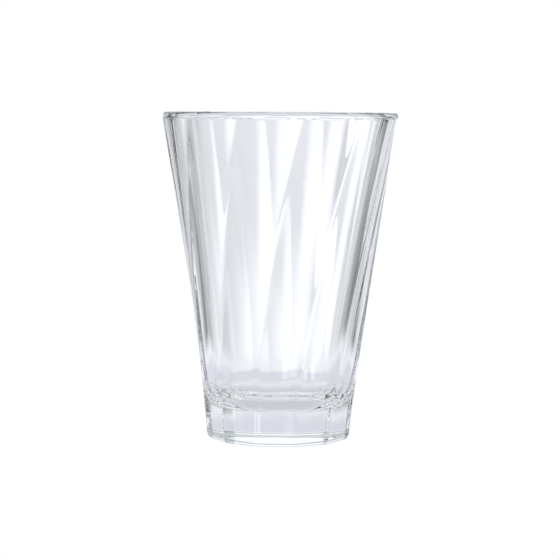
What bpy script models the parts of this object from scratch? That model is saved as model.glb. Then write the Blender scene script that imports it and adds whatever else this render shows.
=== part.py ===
"""Pressed-glass tumbler for coffee service.

One solid piece of clear glass: a tapered cup with shallow facets that lean
round the body by nearly one whole facet, a thick foot where they are flat and
stand almost upright, and a plain round lip. Metres, +Z up, origin at the centre
of the face it stands on, -Y towards the viewer. Angles round the axis are
measured from -Y towards +X.
"""
import math

import bmesh
import bpy

NAME = "twisted_facet_tumbler"

# Overall size
HEIGHT = 0.120
LIP_RADIUS = 0.04325
FACETS = 12
PITCH = math.tau / FACETS

# Outside taper: the arris radius is FOOT_RADIUS + TAPER * z + FLARE * z * z
FOOT_RADIUS = 0.0270
TAPER = 0.096
FLARE = 0.385

# Facets: a depth of 1 is a flat facet and 0 is a round wall
FOOT_FACET_DEPTH = 1.0
BODY_FACET_DEPTH = 0.66
FOOT_TOP_Z = 0.014
BODY_START_Z = 0.030
ARRIS_SOFTNESS = math.radians(1.4)

# Lean of the arrises, which quickens towards the lip
FIRST_ARRIS = math.radians(12.4)
TWIST = math.radians(27.2)
TWIST_START_Z = 0.008
TWIST_END_Z = 0.117
TWIST_POWER = 1.12

# Lip
FACET_TOP_Z = 0.1176
LIP_FOOT_Z = 0.1182
LIP_ROUND = 0.0013

# Foot edge and the hollow under the base
BASE_ROUND = 0.0021
PUNT_RADIUS = 0.0205
PUNT_DEPTH = 0.0020

# Inside of the cup: a straight wall, a round corner and a floor dished like a ball
CORNER_Z = 0.0236
CORNER_RADIUS = 0.0120
DISH_RADIUS = 0.120
WALL_AT_FLOOR = 0.0055
WALL_AT_LIP = 0.0036

# Mesh fineness
PER_FACET = 6
CROWDING = 1.3
BODY_RINGS = 26
WALL_STEPS = 7
ROUND_STEPS = 3
CORNER_STEPS = 8
DOME_STEPS = 4
TURN_STEPS = 72
CUTTER_OVERSHOOT = 0.004
SHARP_ANGLE = math.radians(35.0)


def clear_scene():
    for obj in list(bpy.data.objects):
        bpy.data.objects.remove(obj, do_unlink=True)


def make_collection(name):
    collection = bpy.data.collections.new(name)
    bpy.context.scene.collection.children.link(collection)
    return collection


def glass_material():
    material = bpy.data.materials.new("clear_glass")
    material.use_nodes = True
    shader = material.node_tree.nodes["Principled BSDF"]
    shader.inputs["Base Color"].default_value = (0.93, 0.96, 0.96, 1.0)
    shader.inputs["Roughness"].default_value = 0.02
    shader.inputs["Metallic"].default_value = 0.0
    shader.inputs["IOR"].default_value = 1.52
    shader.inputs["Transmission Weight"].default_value = 1.0
    return material


def arris_radius(z):
    return FOOT_RADIUS + TAPER * z + FLARE * z * z


def blend(start, end, share):
    """From start to end as share goes from 0 to 1, and no further."""
    return start + (end - start) * min(max(share, 0.0), 1.0)


def facet_depth(z):
    """Flat on the foot, fuller on the body."""
    return blend(FOOT_FACET_DEPTH, BODY_FACET_DEPTH, (z - FOOT_TOP_Z) / (BODY_START_Z - FOOT_TOP_Z))


def facet_radius(z):
    """Radius at the middle of a facet."""
    return arris_radius(z) * (1 - facet_depth(z) * (1 - math.cos(PITCH / 2)))


def first_arris(z):
    """Angle of the first arris: upright on the foot, leaning more and more above."""
    share = blend(0.0, 1.0, (z - TWIST_START_Z) / (TWIST_END_Z - TWIST_START_Z))
    return FIRST_ARRIS + TWIST * share ** TWIST_POWER


def facet_offset(step):
    """Angle of one of a facet's points from its arris, with the points closest there."""
    spread = 2 * step / PER_FACET - 1
    return math.copysign(PITCH / 2 * abs(spread) ** CROWDING, spread)


def ring(radius_at, z):
    """Points all round, where radius_at gives the radius for an angle from an arris."""
    points = []
    for index in range(FACETS):
        for step in range(PER_FACET):
            offset = facet_offset(step)
            angle = first_arris(z) + index * PITCH + offset
            radius = radius_at(offset)
            points.append((radius * math.sin(angle), -radius * math.cos(angle)))
    return points


def facet_section(z, inset=0.0):
    """Full-bellied facets that meet in softly rounded arrises."""
    def radius_at(offset):
        from_arris = math.hypot(offset, ARRIS_SOFTNESS)
        flat_sag = 1 - math.cos(PITCH / 2) / math.cos(PITCH / 2 - from_arris)
        return arris_radius(z) * (1 - facet_depth(z) * flat_sag) - inset
    return ring(radius_at, z)


def round_section(radius):
    """The same points on a circle, in step with the tops of the arrises."""
    return ring(lambda offset: radius, FACET_TOP_Z)


def midway(points, others):
    """The ring half way between two rings of the same number of points."""
    return [((x + u) / 2, (y + v) / 2) for (x, y), (u, v) in zip(points, others)]


def outer_rings():
    """Every ring of the outside, from the base up to the top of the lip."""
    rings = []
    for step in range(ROUND_STEPS + 1):
        angle = math.pi / 2 * step / ROUND_STEPS
        z = BASE_ROUND * (1 - math.cos(angle))
        rings.append((z, facet_section(z, BASE_ROUND * (1 - math.sin(angle)))))
    for step in range(1, BODY_RINGS + 1):
        z = BASE_ROUND + (FACET_TOP_Z - BASE_ROUND) * step / BODY_RINGS
        rings.append((z, facet_section(z)))
    under_lip = midway(facet_section(FACET_TOP_Z), round_section(LIP_RADIUS))
    rings.append(((FACET_TOP_Z + LIP_FOOT_Z) / 2, under_lip))
    rings.append((LIP_FOOT_Z, round_section(LIP_RADIUS)))
    for step in range(ROUND_STEPS + 1):
        angle = math.pi / 2 * step / ROUND_STEPS
        radius = LIP_RADIUS - LIP_ROUND * (1 - math.cos(angle))
        z = HEIGHT - LIP_ROUND * (1 - math.sin(angle))
        rings.append((z, round_section(radius)))
    return rings


def loft(name, rings):
    """A closed solid through the rings, with a flat cap at each end."""
    mesh = bmesh.new()
    loops = []
    for z, points in rings:
        loops.append([mesh.verts.new((x, y, z)) for x, y in points])
    count = len(loops[0])
    for lower, upper in zip(loops, loops[1:]):
        for index in range(count):
            after = (index + 1) % count
            mesh.faces.new((lower[index], lower[after], upper[after], upper[index]))
    mesh.faces.new(list(reversed(loops[0])))
    mesh.faces.new(loops[-1])
    data = bpy.data.meshes.new(name)
    mesh.to_mesh(data)
    mesh.free()
    return bpy.data.objects.new(name, data)


def turned_cutter(name, profile, collection):
    """A profile in the XZ plane, running down its outer side, turned round Z."""
    data = bpy.data.meshes.new(name)
    edges = [(index, index + 1) for index in range(len(profile) - 1)]
    data.from_pydata([(r, 0.0, z) for r, z in profile], edges, [])
    cutter = bpy.data.objects.new(name, data)
    collection.objects.link(cutter)
    screw = cutter.modifiers.new("turn", "SCREW")
    screw.axis = "Z"
    screw.angle = math.tau
    screw.steps = TURN_STEPS
    screw.render_steps = TURN_STEPS
    screw.use_merge_vertices = True
    screw.merge_threshold = 0.00001
    cutter.hide_render = True
    cutter.display_type = "WIRE"
    return cutter


def cavity_radius(z):
    """Inside radius of the wall, which thins evenly from the floor corner to the lip."""
    wall = blend(WALL_AT_FLOOR, WALL_AT_LIP, (z - CORNER_Z) / (HEIGHT - CORNER_Z))
    return facet_radius(z) - wall


def floor_profile():
    """The round corner and the dished floor, which meet on one tangent."""
    lean = math.atan(TAPER)
    start_z = CORNER_Z - CORNER_RADIUS * math.sin(lean)
    centre = cavity_radius(start_z) - CORNER_RADIUS * math.cos(lean)
    slope = math.asin(centre / (DISH_RADIUS - CORNER_RADIUS))
    profile = []
    for step in range(CORNER_STEPS + 1):
        angle = lean + (math.pi / 2 - slope - lean) * step / CORNER_STEPS
        r = centre + CORNER_RADIUS * math.cos(angle)
        z = CORNER_Z - CORNER_RADIUS * math.sin(angle)
        profile.append((r, z))
    dish_z = CORNER_Z + (DISH_RADIUS - CORNER_RADIUS) * math.cos(slope)
    for step in range(1, DOME_STEPS):
        angle = slope * (1 - step / DOME_STEPS)
        profile.append((DISH_RADIUS * math.sin(angle), dish_z - DISH_RADIUS * math.cos(angle)))
    profile.append((0.0, dish_z - DISH_RADIUS))
    return profile


def cavity_profile():
    """The inside of the cup: rounded mouth, tapered wall, floor."""
    top = HEIGHT + CUTTER_OVERSHOOT
    mouth_z = HEIGHT - LIP_ROUND
    mouth = cavity_radius(mouth_z) + LIP_ROUND
    profile = [(0.0, top), (mouth, top)]
    for step in range(ROUND_STEPS + 1):
        angle = math.pi / 2 * step / ROUND_STEPS
        r = mouth - LIP_ROUND * math.sin(angle)
        z = mouth_z + LIP_ROUND * math.cos(angle)
        profile.append((r, z))
    for step in range(1, WALL_STEPS):
        z = mouth_z + (CORNER_Z - mouth_z) * step / WALL_STEPS
        profile.append((cavity_radius(z), z))
    return profile + floor_profile()


def punt_profile():
    """The shallow dome under the base, which leaves a flat ring to stand on."""
    ball = (PUNT_RADIUS ** 2 + PUNT_DEPTH ** 2) / (2 * PUNT_DEPTH)
    half_angle = math.asin(PUNT_RADIUS / ball)
    profile = [(0.0, PUNT_DEPTH)]
    for step in range(1, DOME_STEPS + 1):
        angle = half_angle * step / DOME_STEPS
        profile.append((ball * math.sin(angle), ball * (math.cos(angle) - 1) + PUNT_DEPTH))
    profile.append((PUNT_RADIUS, -CUTTER_OVERSHOOT))
    profile.append((0.0, -CUTTER_OVERSHOOT))
    return profile


def cut(target, cutter):
    boolean = target.modifiers.new(cutter.name, "BOOLEAN")
    boolean.operation = "DIFFERENCE"
    boolean.solver = "EXACT"
    boolean.object = cutter


def make_tumbler(parts, cutters):
    tumbler = loft("tumbler", outer_rings())
    parts.objects.link(tumbler)
    tumbler.data.materials.append(glass_material())
    tumbler.data.shade_smooth()
    tumbler.data.set_sharp_from_angle(angle=SHARP_ANGLE)
    cut(tumbler, turned_cutter("cavity_cutter", cavity_profile(), cutters))
    cut(tumbler, turned_cutter("punt_cutter", punt_profile(), cutters))
    return tumbler


def main():
    clear_scene()
    make_tumbler(make_collection(NAME), make_collection("cutters"))


main()
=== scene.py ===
"""Clear pressed-glass tumbler on a white table, in a white light tent.

The glass is one closed skin, lofted ring by ring from the middle of the base,
up the outside, over the lip and down the inside to the middle of the floor.
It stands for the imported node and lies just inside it. Metres, +Z up, -Y
towards the viewer. Angles round the glass are measured from -Y towards +X.
"""
import math

import bpy
import numpy as np
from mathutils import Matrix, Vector


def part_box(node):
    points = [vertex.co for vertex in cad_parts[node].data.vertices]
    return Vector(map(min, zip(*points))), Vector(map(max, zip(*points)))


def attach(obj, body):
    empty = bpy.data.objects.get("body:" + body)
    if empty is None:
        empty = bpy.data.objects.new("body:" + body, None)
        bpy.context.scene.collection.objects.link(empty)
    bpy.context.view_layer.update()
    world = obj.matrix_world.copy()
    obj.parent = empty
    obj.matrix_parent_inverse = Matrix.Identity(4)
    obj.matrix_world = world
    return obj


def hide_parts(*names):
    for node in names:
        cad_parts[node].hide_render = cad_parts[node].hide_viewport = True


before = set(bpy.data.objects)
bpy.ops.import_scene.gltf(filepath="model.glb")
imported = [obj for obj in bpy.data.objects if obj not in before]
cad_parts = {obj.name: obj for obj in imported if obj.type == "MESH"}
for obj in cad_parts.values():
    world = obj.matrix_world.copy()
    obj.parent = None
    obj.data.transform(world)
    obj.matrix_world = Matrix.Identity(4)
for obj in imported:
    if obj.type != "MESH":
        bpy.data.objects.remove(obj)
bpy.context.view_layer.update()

# The design is written for a glass 0.120 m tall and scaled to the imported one
DESIGN_HEIGHT = 0.120
node_low, node_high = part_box("tumbler")
SCALE = (node_high.z - node_low.z) / DESIGN_HEIGHT

# Outside: the arris radius is FOOT_RADIUS + TAPER * z + FLARE * z * z
FACETS = 12
PITCH = math.tau / FACETS
FOOT_RADIUS = 0.0270
TAPER = 0.096
FLARE = 0.385
BASE_ROUND = 0.0021

# Facets: a depth of 1 is a flat facet and 0 is a round wall
FOOT_FACET_DEPTH = 1.0
BODY_FACET_DEPTH = 0.66
FOOT_TOP_Z = 0.014
BODY_START_Z = 0.030
ARRIS_SOFTNESS = math.radians(1.4)

# Lean of the arrises, which quickens towards the lip
FIRST_ARRIS = math.radians(12.4)
TWIST = math.radians(27.2)
TWIST_START_Z = 0.008
TWIST_END_Z = 0.117
TWIST_POWER = 1.12

# Lip
LIP_RADIUS = 0.0432
FACET_TOP_Z = 0.1176
LIP_FOOT_Z = 0.1182
LIP_ROUND = 0.0013
MOUTH_Z = DESIGN_HEIGHT - LIP_ROUND

# The hollow under the base
PUNT_RADIUS = 0.0205
PUNT_DEPTH = 0.0020

# Inside: a tapered wall, a round corner and a floor dished like a ball
WALL_AT_FLOOR = 0.0055
WALL_AT_LIP = 0.0036
WALL_LEAN = math.atan(TAPER)
CORNER_Z = 0.0236
CORNER_RADIUS = 0.0120
WALL_END_Z = CORNER_Z - CORNER_RADIUS * math.sin(WALL_LEAN)
DISH_RADIUS = 0.120

# Mesh fineness
PER_FACET = 24
CROWDING = 1.7
RING_POINTS = FACETS * PER_FACET
PUNT_STEPS = 12
LEDGE_STEPS = 4
ROUND_STEPS = 8
BODY_STEPS = 150
WALL_STEPS = 60
CORNER_STEPS = 16
FLOOR_STEPS = 16

# Glass: the mould's waves stand taller than they are wide, and the polish varies in patches
GLASS_INDEX = 1.52
WAVE_STRETCH = (1.0, 1.0, 0.3)
WAVES_PER_METRE = 90.0
WAVE_DETAIL = 2.0
WAVE_HEIGHT = 0.00005
PATCH_STRETCH = (1.0, 1.0, 1.0)
PATCHES_PER_METRE = 60.0
PATCH_DETAIL = 3.0
PATCH_EDGE = (0.35, 0.75)
GLASS_ROUGHNESS = (0.0, 0.012)
GLASS_TINT = (0.90, 0.96, 0.93, 1.0)
GLASS_DENSITY = 5.0

# Casts of the light
WHITE = (1.0, 1.0, 1.0, 1.0)
COOL = (0.975, 0.998, 1.045)
LILAC = (0.980, 0.990, 1.100)

# The four walls of the tent: degrees from the middle of a wall, brightness low down and higher up
WALLS = 4
HALF_WALL = 45
TENT_WALL = ((-45, 0.03, 0.03), (-42, 0.08, 0.08), (-38, 0.30, 0.30), (-32, 0.45, 0.45),
             (-25, 0.58, 0.58), (-17, 0.75, 0.75), (-9, 0.85, 0.78), (-2, 1.02, 0.80),
             (2, 1.12, 1.10), (6, 1.18, 1.18), (11, 1.02, 1.04), (15, 0.70, 0.66),
             (19, 0.76, 0.74), (25, 0.80, 0.80), (38, 0.75, 0.75), (41, 0.10, 0.10),
             (45, 0.03, 0.03))
# The heights between which a wall goes from its low to its high pattern, in degrees
WALL_CHANGE = (-7.5, -4.5)
DOWN = -90
UP = 90
# From straight down to straight up: degrees, brightness, share of the wall pattern
TENT_HEIGHT = ((DOWN, 0.60, 0.0), (-60, 0.60, 0.0), (-35, 0.67, 0.0), (-24, 0.80, 0.1),
               (-18, 0.60, 0.2), (-14.5, 0.30, 0.3), (-12.6, 0.34, 0.4), (-11.4, 0.82, 0.6),
               (-8, 0.90, 1.0), (4, 0.90, 1.0), (5.5, 0.80, 0.4), (7.5, 0.36, 0.1),
               (11, 0.44, 0.1), (13.5, 1.10, 0.2), (20, 1.20, 0.2), (28, 1.05, 0.2),
               (45, 0.70, 0.2), (UP, 0.85, 0.0))
LILAC_BELOW = -30

# Painted shade: a low card round the glass, glowing lilac grey where the table's shade would show
# through the foot, which changes to a lighter, cooler grey and then fades out upwards
CARD_RADIUS = 0.11
CARD_FOOT = -0.012
CARD_HEIGHT = 0.017
CARD_FADE_START = 0.006
CARD_CHANGE = (0.001, 0.008)
CARD_BRIGHTENING = 1.26
CARD_SIDES = 48
# Degrees from the middle of a wall, brightness
CARD_TONES = ((-45, 0.73), (-20, 0.71), (1, 0.71), (4, 0.86), (8, 0.86), (11, 0.72), (25, 0.75),
              (45, 0.73))

# Table
FLOOR_REACH = 30.0
FLOOR_Z = -0.0001

# Camera
CAMERA_DISTANCE = 0.725
CAMERA_HEIGHT = 0.123
AIM = Vector((0.0001, 0.0, 0.0582))
LENS = 126.6
SENSOR_WIDTH = 36.0
CLIP_START = 0.01
CLIP_END = 100.0
ROLL = math.radians(0.35)

# Light paths: reflections inside the glass end sooner, which keeps its outline dark
BOUNCES = 32
GLOSSY_BOUNCES = 16

# Places of the sockets that share a name on the mix nodes
FIRST_COLOUR = 6
SECOND_COLOUR = 7
MIXED_COLOUR = 2
FIRST_SHADER = 1
SECOND_SHADER = 2


def clamp(share):
    return min(max(share, 0.0), 1.0)


def smooth(share):
    return share * share * (3 - 2 * share)


def arris_radius(z):
    return FOOT_RADIUS + TAPER * z + FLARE * z * z


def facet_depth(z):
    """Flat on the foot, fuller on the body."""
    share = clamp((z - FOOT_TOP_Z) / (BODY_START_Z - FOOT_TOP_Z))
    return FOOT_FACET_DEPTH + (BODY_FACET_DEPTH - FOOT_FACET_DEPTH) * share


def facet_radius(z):
    """Radius at the middle of a facet."""
    return arris_radius(z) * (1 - facet_depth(z) * (1 - math.cos(PITCH / 2)))


def cavity_radius(z):
    """Inside radius of the wall, which thins evenly from the floor corner to the lip."""
    share = (z - CORNER_Z) / (DESIGN_HEIGHT - CORNER_Z)
    return facet_radius(z) - (WALL_AT_FLOOR + (WALL_AT_LIP - WALL_AT_FLOOR) * share)


def first_arris(z):
    """Angle of the first arris: upright on the foot, leaning more and more above."""
    share = clamp((z - TWIST_START_Z) / (TWIST_END_Z - TWIST_START_Z))
    return FIRST_ARRIS + TWIST * share ** TWIST_POWER


def ring_offsets():
    """Angles from an arris to the middle of the facet on each side, closest at the arris."""
    spread = np.arange(PER_FACET) * 2 / PER_FACET - 1
    return PITCH / 2 * np.sign(spread) * np.abs(spread) ** CROWDING


def ring(radius, z):
    """x and y all round, in step with the arrises at z, from one radius or one for each offset."""
    arrises = first_arris(z) + np.arange(FACETS) * PITCH
    angles = (arrises[:, None] + ring_offsets()).ravel()
    radii = np.tile(radius * np.ones(PER_FACET), FACETS)
    return np.stack([radii * np.sin(angles), -radii * np.cos(angles)], axis=1)


def facet_section(z, inset=0.0):
    """Full-bellied facets that meet in softly rounded arrises."""
    from_arris = np.hypot(ring_offsets(), ARRIS_SOFTNESS)
    flat_sag = 1 - math.cos(PITCH / 2) / np.cos(PITCH / 2 - from_arris)
    return ring(arris_radius(z) * (1 - facet_depth(z) * flat_sag) - inset, z)


def quarter_turn():
    """Angles from 0 to 90 degrees, for a rounded edge."""
    return [math.pi / 2 * step / ROUND_STEPS for step in range(ROUND_STEPS + 1)]


def base_rings():
    """The shallow dome under the base and the flat ledge round it."""
    rings = []
    ball = (PUNT_RADIUS ** 2 + PUNT_DEPTH ** 2) / (2 * PUNT_DEPTH)
    for step in range(1, PUNT_STEPS + 1):
        radius = PUNT_RADIUS * step / PUNT_STEPS
        z = math.sqrt(ball ** 2 - radius ** 2) - ball + PUNT_DEPTH
        rings.append((z, ring(radius, 0.0)))
    inner = ring(PUNT_RADIUS, 0.0)
    outer = facet_section(0.0, BASE_ROUND)
    for step in range(1, LEDGE_STEPS):
        rings.append((0.0, inner + (outer - inner) * step / LEDGE_STEPS))
    return rings


def body_rings():
    """The rounded foot edge and the faceted wall above it."""
    rings = []
    for angle in quarter_turn():
        z = BASE_ROUND * (1 - math.cos(angle))
        rings.append((z, facet_section(z, BASE_ROUND * (1 - math.sin(angle)))))
    for step in range(1, BODY_STEPS + 1):
        z = BASE_ROUND + (FACET_TOP_Z - BASE_ROUND) * step / BODY_STEPS
        rings.append((z, facet_section(z)))
    return rings


def lip_rings():
    """From the tops of the facets out to the plain lip and over its outer edge."""
    rings = []
    facets = facet_section(FACET_TOP_Z)
    lip = ring(LIP_RADIUS, FACET_TOP_Z)
    for step in range(1, ROUND_STEPS + 1):
        share = step / ROUND_STEPS
        z = FACET_TOP_Z + (LIP_FOOT_Z - FACET_TOP_Z) * share
        rings.append((z, facets + (lip - facets) * smooth(share)))
    for angle in quarter_turn():
        radius = LIP_RADIUS - LIP_ROUND * (1 - math.cos(angle))
        z = DESIGN_HEIGHT - LIP_ROUND * (1 - math.sin(angle))
        rings.append((z, ring(radius, FACET_TOP_Z)))
    return rings


def wall_rings():
    """Over the inner edge of the lip and down the smooth inside of the wall."""
    rings = []
    mouth = cavity_radius(MOUTH_Z) + LIP_ROUND
    for angle in quarter_turn():
        radius = mouth - LIP_ROUND * math.sin(angle)
        z = MOUTH_Z + LIP_ROUND * math.cos(angle)
        rings.append((z, ring(radius, FACET_TOP_Z)))
    for step in range(1, WALL_STEPS + 1):
        z = MOUTH_Z + (WALL_END_Z - MOUTH_Z) * step / WALL_STEPS
        rings.append((z, ring(cavity_radius(z), z)))
    return rings


def floor_rings():
    """The round corner and the dished floor, which meet on one tangent, and the floor's lowest z."""
    rings = []
    centre = cavity_radius(WALL_END_Z) - CORNER_RADIUS * math.cos(WALL_LEAN)
    slope = math.asin(centre / (DISH_RADIUS - CORNER_RADIUS))
    for step in range(1, CORNER_STEPS + 1):
        angle = WALL_LEAN + (math.pi / 2 - slope - WALL_LEAN) * step / CORNER_STEPS
        radius = centre + CORNER_RADIUS * math.cos(angle)
        z = CORNER_Z - CORNER_RADIUS * math.sin(angle)
        rings.append((z, ring(radius, 0.0)))
    floor_z = CORNER_Z + (DISH_RADIUS - CORNER_RADIUS) * math.cos(slope) - DISH_RADIUS
    for step in range(1, FLOOR_STEPS):
        angle = slope * (1 - step / FLOOR_STEPS)
        z = floor_z + DISH_RADIUS * (1 - math.cos(angle))
        rings.append((z, ring(DISH_RADIUS * math.sin(angle), 0.0)))
    return rings, floor_z


def add_object(name, data):
    obj = bpy.data.objects.new(name, data)
    bpy.context.scene.collection.objects.link(obj)
    return obj


def glass_skin(name):
    """One closed mesh through all the rings, with a fan at each end."""
    floor, floor_z = floor_rings()
    rings = base_rings() + body_rings() + lip_rings() + wall_rings() + floor
    points = [(x, y, z) for z, section in rings for x, y in section]
    under = len(points)
    over = under + 1
    last = under - RING_POINTS
    points += [(0.0, 0.0, PUNT_DEPTH), (0.0, 0.0, floor_z)]
    faces = []
    for start in range(0, last, RING_POINTS):
        for index in range(RING_POINTS):
            a, b = start + index, start + (index + 1) % RING_POINTS
            faces.append((a, b, b + RING_POINTS, a + RING_POINTS))
    for index in range(RING_POINTS):
        after = (index + 1) % RING_POINTS
        faces.append((under, after, index))
        faces.append((over, last + index, last + after))
    mesh = bpy.data.meshes.new(name)
    mesh.from_pydata([Vector(point) * SCALE for point in points], [], faces)
    mesh.validate()
    mesh.shade_smooth()
    return add_object(name, mesh)


def add_ramp(tree, stops, low, high):
    """A colour ramp with one stop for each (place, colour), placed from low to high."""
    ramp = tree.nodes.new("ShaderNodeValToRGB")
    elements = ramp.color_ramp.elements
    for place, colour in stops[1:-1]:
        elements.new((place - low) / (high - low))
    for element, (place, colour) in zip(elements, stops):
        element.position = (place - low) / (high - low)
        element.color = (*colour, 1.0)
    return ramp


def add_math(tree, operation, *values):
    """A math node, where each value is a number or the output of another node."""
    node = tree.nodes.new("ShaderNodeMath")
    node.operation = operation
    for socket, value in zip(node.inputs, values):
        if isinstance(value, bpy.types.NodeSocket):
            tree.links.new(value, socket)
        else:
            socket.default_value = value
    return node.outputs["Value"]


def add_range(tree, value, source, target=(0.0, 1.0)):
    """A smooth change from target's first value to its second as value crosses source."""
    node = tree.nodes.new("ShaderNodeMapRange")
    node.interpolation_type = "SMOOTHSTEP"
    node.inputs["From Min"].default_value = source[0]
    node.inputs["From Max"].default_value = source[1]
    node.inputs["To Min"].default_value = target[0]
    node.inputs["To Max"].default_value = target[1]
    tree.links.new(value, node.inputs["Value"])
    return node.outputs["Result"]


def add_noise(tree, stretch, scale, detail):
    """Noise that runs through the object, with its coordinates scaled by stretch on each axis."""
    place = tree.nodes.new("ShaderNodeTexCoord")
    mapping = tree.nodes.new("ShaderNodeMapping")
    mapping.inputs["Scale"].default_value = stretch
    tree.links.new(place.outputs["Object"], mapping.inputs["Vector"])
    noise = tree.nodes.new("ShaderNodeTexNoise")
    noise.inputs["Scale"].default_value = scale
    noise.inputs["Detail"].default_value = detail
    tree.links.new(mapping.outputs["Vector"], noise.inputs["Vector"])
    return noise.outputs["Fac"]


def mix_colours(tree, factor, first, second):
    node = tree.nodes.new("ShaderNodeMix")
    node.data_type = "RGBA"
    tree.links.new(factor, node.inputs["Factor"])
    tree.links.new(first, node.inputs[FIRST_COLOUR])
    tree.links.new(second, node.inputs[SECOND_COLOUR])
    return node.outputs[MIXED_COLOUR]


def split_place(tree, output):
    """x, y and z of one of the texture coordinates."""
    place = tree.nodes.new("ShaderNodeTexCoord")
    split = tree.nodes.new("ShaderNodeSeparateXYZ")
    tree.links.new(place.outputs[output], split.inputs["Vector"])
    return split.outputs["X"], split.outputs["Y"], split.outputs["Z"]


def tone(level, cast):
    return tuple(level * part for part in cast)


def wall_colour(tree, x, y, stops, cast):
    """The colour for a direction round the glass, the same for each of the tent's walls."""
    around = add_math(tree, "ARCTAN2", x, y)
    turns = add_math(tree, "MULTIPLY_ADD", around, WALLS / math.tau, 0.5)
    colours = [(angle, tone(level, cast)) for angle, level in stops]
    ramp = add_ramp(tree, colours, -HALF_WALL, HALF_WALL)
    tree.links.new(add_math(tree, "FRACT", turns), ramp.inputs["Fac"])
    return ramp.outputs["Color"]


def glass_material():
    """Clear soda glass with the faint waves that a mould leaves and a trace of green in depth."""
    material = bpy.data.materials.new("clear_pressed_glass")
    material.use_nodes = True
    tree = material.node_tree
    shader = tree.nodes["Principled BSDF"]
    shader.inputs["Base Color"].default_value = WHITE
    shader.inputs["Transmission Weight"].default_value = 1.0
    shader.inputs["IOR"].default_value = GLASS_INDEX
    bump = tree.nodes.new("ShaderNodeBump")
    bump.inputs["Strength"].default_value = 1.0
    bump.inputs["Distance"].default_value = WAVE_HEIGHT
    waves = add_noise(tree, WAVE_STRETCH, WAVES_PER_METRE, WAVE_DETAIL)
    tree.links.new(waves, bump.inputs["Height"])
    tree.links.new(bump.outputs["Normal"], shader.inputs["Normal"])
    patches = add_noise(tree, PATCH_STRETCH, PATCHES_PER_METRE, PATCH_DETAIL)
    finish = add_range(tree, patches, PATCH_EDGE, GLASS_ROUGHNESS)
    tree.links.new(finish, shader.inputs["Roughness"])
    depth = tree.nodes.new("ShaderNodeVolumeAbsorption")
    depth.inputs["Color"].default_value = GLASS_TINT
    depth.inputs["Density"].default_value = GLASS_DENSITY
    tree.links.new(depth.outputs["Volume"], tree.nodes["Material Output"].inputs["Volume"])
    return material


def make_glass():
    glass = glass_skin("glass_tumbler")
    glass.data.materials.append(glass_material())
    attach(glass, "root")
    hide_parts("tumbler")


def glowing_material(name):
    material = bpy.data.materials.new(name)
    material.use_nodes = True
    nodes, links = material.node_tree.nodes, material.node_tree.links
    nodes.remove(nodes["Principled BSDF"])
    shader = nodes.new("ShaderNodeEmission")
    shader.inputs["Color"].default_value = WHITE
    links.new(shader.outputs["Emission"], nodes["Material Output"].inputs["Surface"])
    return material


def make_floor():
    """An evenly white table. Only the camera sees it, and the tent lights the glass from below."""
    mesh = bpy.data.meshes.new("floor")
    corners = [(-1, -1, 0), (1, -1, 0), (1, 1, 0), (-1, 1, 0)]
    mesh.from_pydata([Vector(corner) * FLOOR_REACH for corner in corners], [], [(0, 1, 2, 3)])
    mesh.materials.append(glowing_material("floor_white"))
    floor = add_object("floor", mesh)
    floor.location.z = FLOOR_Z
    floor.visible_transmission = False
    floor.visible_glossy = False
    floor.visible_diffuse = False
    floor.visible_shadow = False


def card_material():
    """Painted shade of the table: a glow that goes from lilac to a lighter, cooler grey with height,
    and then fades out.
    """
    material = glowing_material("card_painted_shade")
    tree = material.node_tree
    shader = tree.nodes["Emission"]
    x, y, z = split_place(tree, "Object")
    lower = wall_colour(tree, x, y, CARD_TONES, LILAC)
    brighter = [(angle, level * CARD_BRIGHTENING) for angle, level in CARD_TONES]
    upper = wall_colour(tree, x, y, brighter, COOL)
    colour = mix_colours(tree, add_range(tree, z, CARD_CHANGE), lower, upper)
    tree.links.new(colour, shader.inputs["Color"])
    clear = tree.nodes.new("ShaderNodeBsdfTransparent")
    mix = tree.nodes.new("ShaderNodeMixShader")
    tree.links.new(add_range(tree, z, (CARD_FADE_START, CARD_HEIGHT)), mix.inputs["Fac"])
    tree.links.new(shader.outputs["Emission"], mix.inputs[FIRST_SHADER])
    tree.links.new(clear.outputs["BSDF"], mix.inputs[SECOND_SHADER])
    tree.links.new(mix.outputs["Shader"], tree.nodes["Material Output"].inputs["Surface"])
    return material


def make_card():
    """A low card bent round the glass, which paints the table's shade into what the foot and the
    lower body show.
    """
    mesh = bpy.data.meshes.new("card")
    points, faces = [], []
    for index in range(CARD_SIDES):
        angle = math.tau * index / CARD_SIDES
        x, y = CARD_RADIUS * math.sin(angle), CARD_RADIUS * math.cos(angle)
        points += [(x, y, CARD_FOOT), (x, y, CARD_HEIGHT)]
        after = (index + 1) % CARD_SIDES
        faces.append((2 * index, 2 * after, 2 * after + 1, 2 * index + 1))
    mesh.from_pydata(points, [], faces)
    mesh.materials.append(card_material())
    card = add_object("card", mesh)
    card.visible_camera = False
    card.visible_diffuse = False
    card.visible_shadow = False


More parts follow.
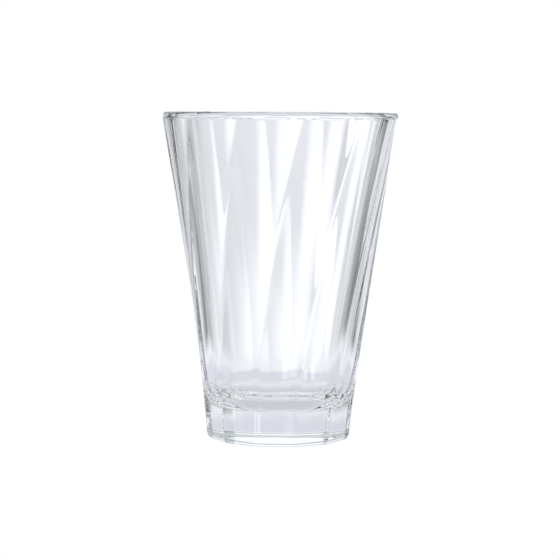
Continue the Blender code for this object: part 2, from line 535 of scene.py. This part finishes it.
def make_world():
    """A white square light tent with dark corners. The camera itself sees plain white."""
    world = bpy.data.worlds.new("studio")
    bpy.context.scene.world = world
    world.use_nodes = True
    tree = world.node_tree
    x, y, z = split_place(tree, "Generated")
    low_wall = wall_colour(tree, x, y, [(angle, low) for angle, low, high in TENT_WALL], COOL)
    high_wall = wall_colour(tree, x, y, [(angle, high) for angle, low, high in TENT_WALL], COOL)
    height = add_math(tree, "MULTIPLY_ADD", add_math(tree, "ARCSINE", z), 1 / math.pi, 0.5)
    change = add_range(tree, height, [(angle - DOWN) / (UP - DOWN) for angle in WALL_CHANGE])
    wall = mix_colours(tree, change, low_wall, high_wall)
    plain, shares = [], []
    for angle, level, share in TENT_HEIGHT:
        plain.append((angle, tone(level, LILAC if angle < LILAC_BELOW else COOL)))
        shares.append((angle, (share, share, share)))
    base = add_ramp(tree, plain, DOWN, UP)
    tree.links.new(height, base.inputs["Fac"])
    pattern = add_ramp(tree, shares, DOWN, UP)
    tree.links.new(height, pattern.inputs["Fac"])
    tent = mix_colours(tree, pattern.outputs["Color"], base.outputs["Color"], wall)
    path = tree.nodes.new("ShaderNodeLightPath")
    white = tree.nodes.new("ShaderNodeRGB")
    white.outputs["Color"].default_value = WHITE
    seen = mix_colours(tree, path.outputs["Is Camera Ray"], tent, white.outputs["Color"])
    tree.links.new(seen, tree.nodes["Background"].inputs["Color"])


def make_camera():
    data = bpy.data.cameras.new("camera")
    data.lens = LENS
    data.sensor_width = SENSOR_WIDTH
    data.clip_start = CLIP_START
    data.clip_end = CLIP_END
    camera = add_object("camera", data)
    camera.location = Vector((0.0, -CAMERA_DISTANCE, CAMERA_HEIGHT))
    look = AIM - camera.location
    camera.rotation_euler = look.to_track_quat("-Z", "Y").to_euler()
    camera.rotation_euler.rotate_axis("Z", ROLL)
    bpy.context.scene.camera = camera


scene = bpy.context.scene
scene.view_settings.view_transform = "Standard"
scene.cycles.max_bounces = BOUNCES
scene.cycles.transmission_bounces = BOUNCES
scene.cycles.glossy_bounces = GLOSSY_BOUNCES
make_camera()
make_world()
make_floor()
make_card()
make_glass()
